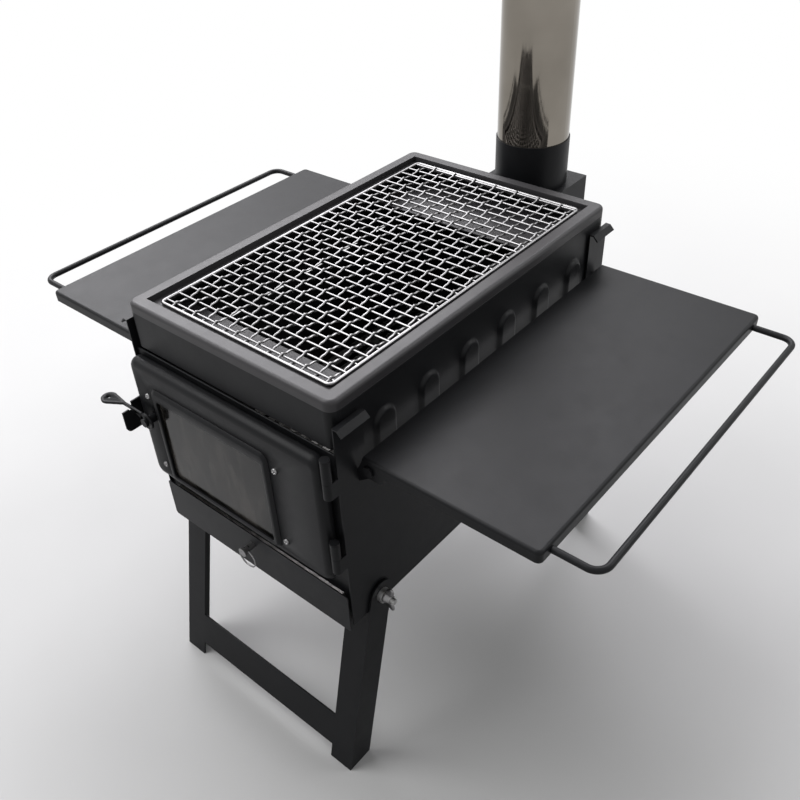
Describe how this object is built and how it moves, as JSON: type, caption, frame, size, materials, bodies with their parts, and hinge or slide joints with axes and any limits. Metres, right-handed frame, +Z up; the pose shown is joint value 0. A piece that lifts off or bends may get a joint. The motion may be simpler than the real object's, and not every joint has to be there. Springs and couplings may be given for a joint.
{
  "type": "camping wood stove",
  "caption": "Folding camping wood stove with lift-off grill top, glass door, ash drawer, side shelves with rails and a flue pipe.",
  "frame": {"origin": "on the ground, in the middle of the standing stove's bounding box", "axes": "+X to the right seen from the door, +Y to the rear with the flue, +Z up"},
  "size_m": [0.692, 0.546, 0.818],
  "materials": {
    "black_coat": "satin heat-proof powder coat",
    "rim_coat": "satin heat-proof coat, catching the light",
    "plain_steel": "bare sheet steel",
    "bright_stainless": "bright stainless",
    "mirror_stainless": "mirror-polished stainless",
    "zinc_plate": "zinc plated",
    "gasket_rope": "woven glass-fibre rope",
    "window_glass": "clear ceramic glass, sooty"
  },
  "bodies": {
    "stove_body": {"left_side_wall": "black_coat", "right_side_wall": "black_coat", "corner_guides": "black_coat", "front_plate": "black_coat", "rear_plate": "black_coat", "bottom_plate": "black_coat", "frame_ledges": "black_coat", "grate_ledges": "black_coat", "flue_box": "black_coat", "flue_collar": "black_coat", "catch_plate": "black_coat", "body_knuckles": "black_coat", "hinge_pins": "zinc_plate", "door_gasket": "gasket_rope", "shelf_lugs": "black_coat", "shelf_screws": "bright_stainless", "leg_bolts": "zinc_plate", "leg_washers": "zinc_plate"},
    "top_frame": {"top_rim": "rim_coat", "skirt_front": "black_coat", "skirt_rear": "black_coat", "skirt_left": "black_coat", "skirt_right": "black_coat", "baffle_plate": "rim_coat", "front_baffle": "rim_coat"},
    "grill": {"grill_net": "bright_stainless"},
    "fire_bed": {"fire_grate": "plain_steel"},
    "door": {"door_panel": "black_coat", "window_frame": "black_coat", "window_glass": "window_glass", "glass_seal": "gasket_rope", "glass_clamp": "black_coat", "window_screws": "bright_stainless", "door_knuckles": "black_coat", "latch_bolt": "zinc_plate"},
    "latch": {"latch_lever": "black_coat"},
    "drawer": {"drawer_front": "black_coat", "ash_tray": "plain_steel", "drawer_stud": "bright_stainless"},
    "pull_ring": {"drawer_ring": "bright_stainless"},
    "left_shelf": {"shelf_left": "black_coat", "rail_left": "black_coat", "rail_nuts_left": "zinc_plate"},
    "right_shelf": {"shelf_right": "black_coat", "rail_right": "black_coat", "rail_nuts_right": "zinc_plate"},
    "front_legs": {"front_leg_left": "black_coat", "front_leg_right": "black_coat", "front_crossbar": "black_coat"},
    "rear_legs": {"rear_leg_left": "black_coat", "rear_leg_right": "black_coat", "rear_crossbar": "black_coat"},
    "wing_nut_fl": {"wing_nut_front_left": "bright_stainless"},
    "wing_nut_fr": {"wing_nut_front_right": "bright_stainless"},
    "wing_nut_rl": {"wing_nut_rear_left": "bright_stainless"},
    "wing_nut_rr": {"wing_nut_rear_right": "bright_stainless"},
    "pipe": {"flue_pipe": "mirror_stainless"}
  },
  "joints": [
    {"name": "door_hinge", "type": "hinge", "parent": "stove_body", "child": "door", "pos_m": [0.1251, -0.24998, 0.368], "axis": [0, 0, 1], "range_deg": [0, 170]},
    {"name": "latch_turn", "type": "hinge", "parent": "door", "child": "latch", "pos_m": [-0.105, -0.26198, 0.353], "axis": [0, 1, 0], "range_deg": [-4.5, 45]},
    {"name": "drawer_slide", "type": "slide", "parent": "stove_body", "child": "drawer", "axis": [0, -1, 0], "range_m": [0, 0.3]},
    {"name": "ring_swing", "type": "hinge", "parent": "drawer", "child": "pull_ring", "pos_m": [0, -0.25398, 0.237], "axis": [-1, 0, 0], "range_deg": [-20, 90]},
    {"name": "left_shelf_fold", "type": "hinge", "parent": "stove_body", "child": "left_shelf", "pos_m": [-0.143, -0.02848, 0.3962], "axis": [0, 1, 0], "range_deg": [0, 80]},
    {"name": "right_shelf_fold", "type": "hinge", "parent": "stove_body", "child": "right_shelf", "pos_m": [0.143, -0.02848, 0.3962], "axis": [0, -1, 0], "range_deg": [0, 80]},
    {"name": "front_legs_fold", "type": "hinge", "parent": "stove_body", "child": "front_legs", "pos_m": [0, -0.20498, 0.2235], "axis": [1, 0, 0], "range_deg": [0, 103]},
    {"name": "rear_legs_fold", "type": "hinge", "parent": "stove_body", "child": "rear_legs", "pos_m": [0, 0.13902, 0.2235], "axis": [-1, 0, 0], "range_deg": [0, 100]},
    {"name": "wing_nut_fl_spin", "type": "hinge", "parent": "stove_body", "child": "wing_nut_fl", "pos_m": [-0.14, -0.20498, 0.2235], "axis": [1, 0, 0], "continuous": true},
    {"name": "wing_nut_fr_spin", "type": "hinge", "parent": "stove_body", "child": "wing_nut_fr", "pos_m": [0.14, -0.20498, 0.2235], "axis": [1, 0, 0], "continuous": true},
    {"name": "wing_nut_rl_spin", "type": "hinge", "parent": "stove_body", "child": "wing_nut_rl", "pos_m": [-0.14, 0.13902, 0.2235], "axis": [1, 0, 0], "continuous": true},
    {"name": "wing_nut_rr_spin", "type": "hinge", "parent": "stove_body", "child": "wing_nut_rr", "pos_m": [0.14, 0.13902, 0.2235], "axis": [1, 0, 0], "continuous": true},
    {"name": "top_frame_lift", "type": "slide", "parent": "stove_body", "child": "top_frame", "axis": [0, 0, 1], "range_m": [0, 0.12]},
    {"name": "grill_lift", "type": "slide", "parent": "top_frame", "child": "grill", "axis": [0, 0, 1], "range_m": [0, 0.06]},
    {"name": "fire_grate_lift", "type": "slide", "parent": "stove_body", "child": "fire_bed", "axis": [0, 0, 1], "range_m": [0, 0.08]},
    {"name": "flue_pipe_lift", "type": "slide", "parent": "stove_body", "child": "pipe", "axis": [0, 0, 1], "range_m": [0, 0.06]}
  ]
}
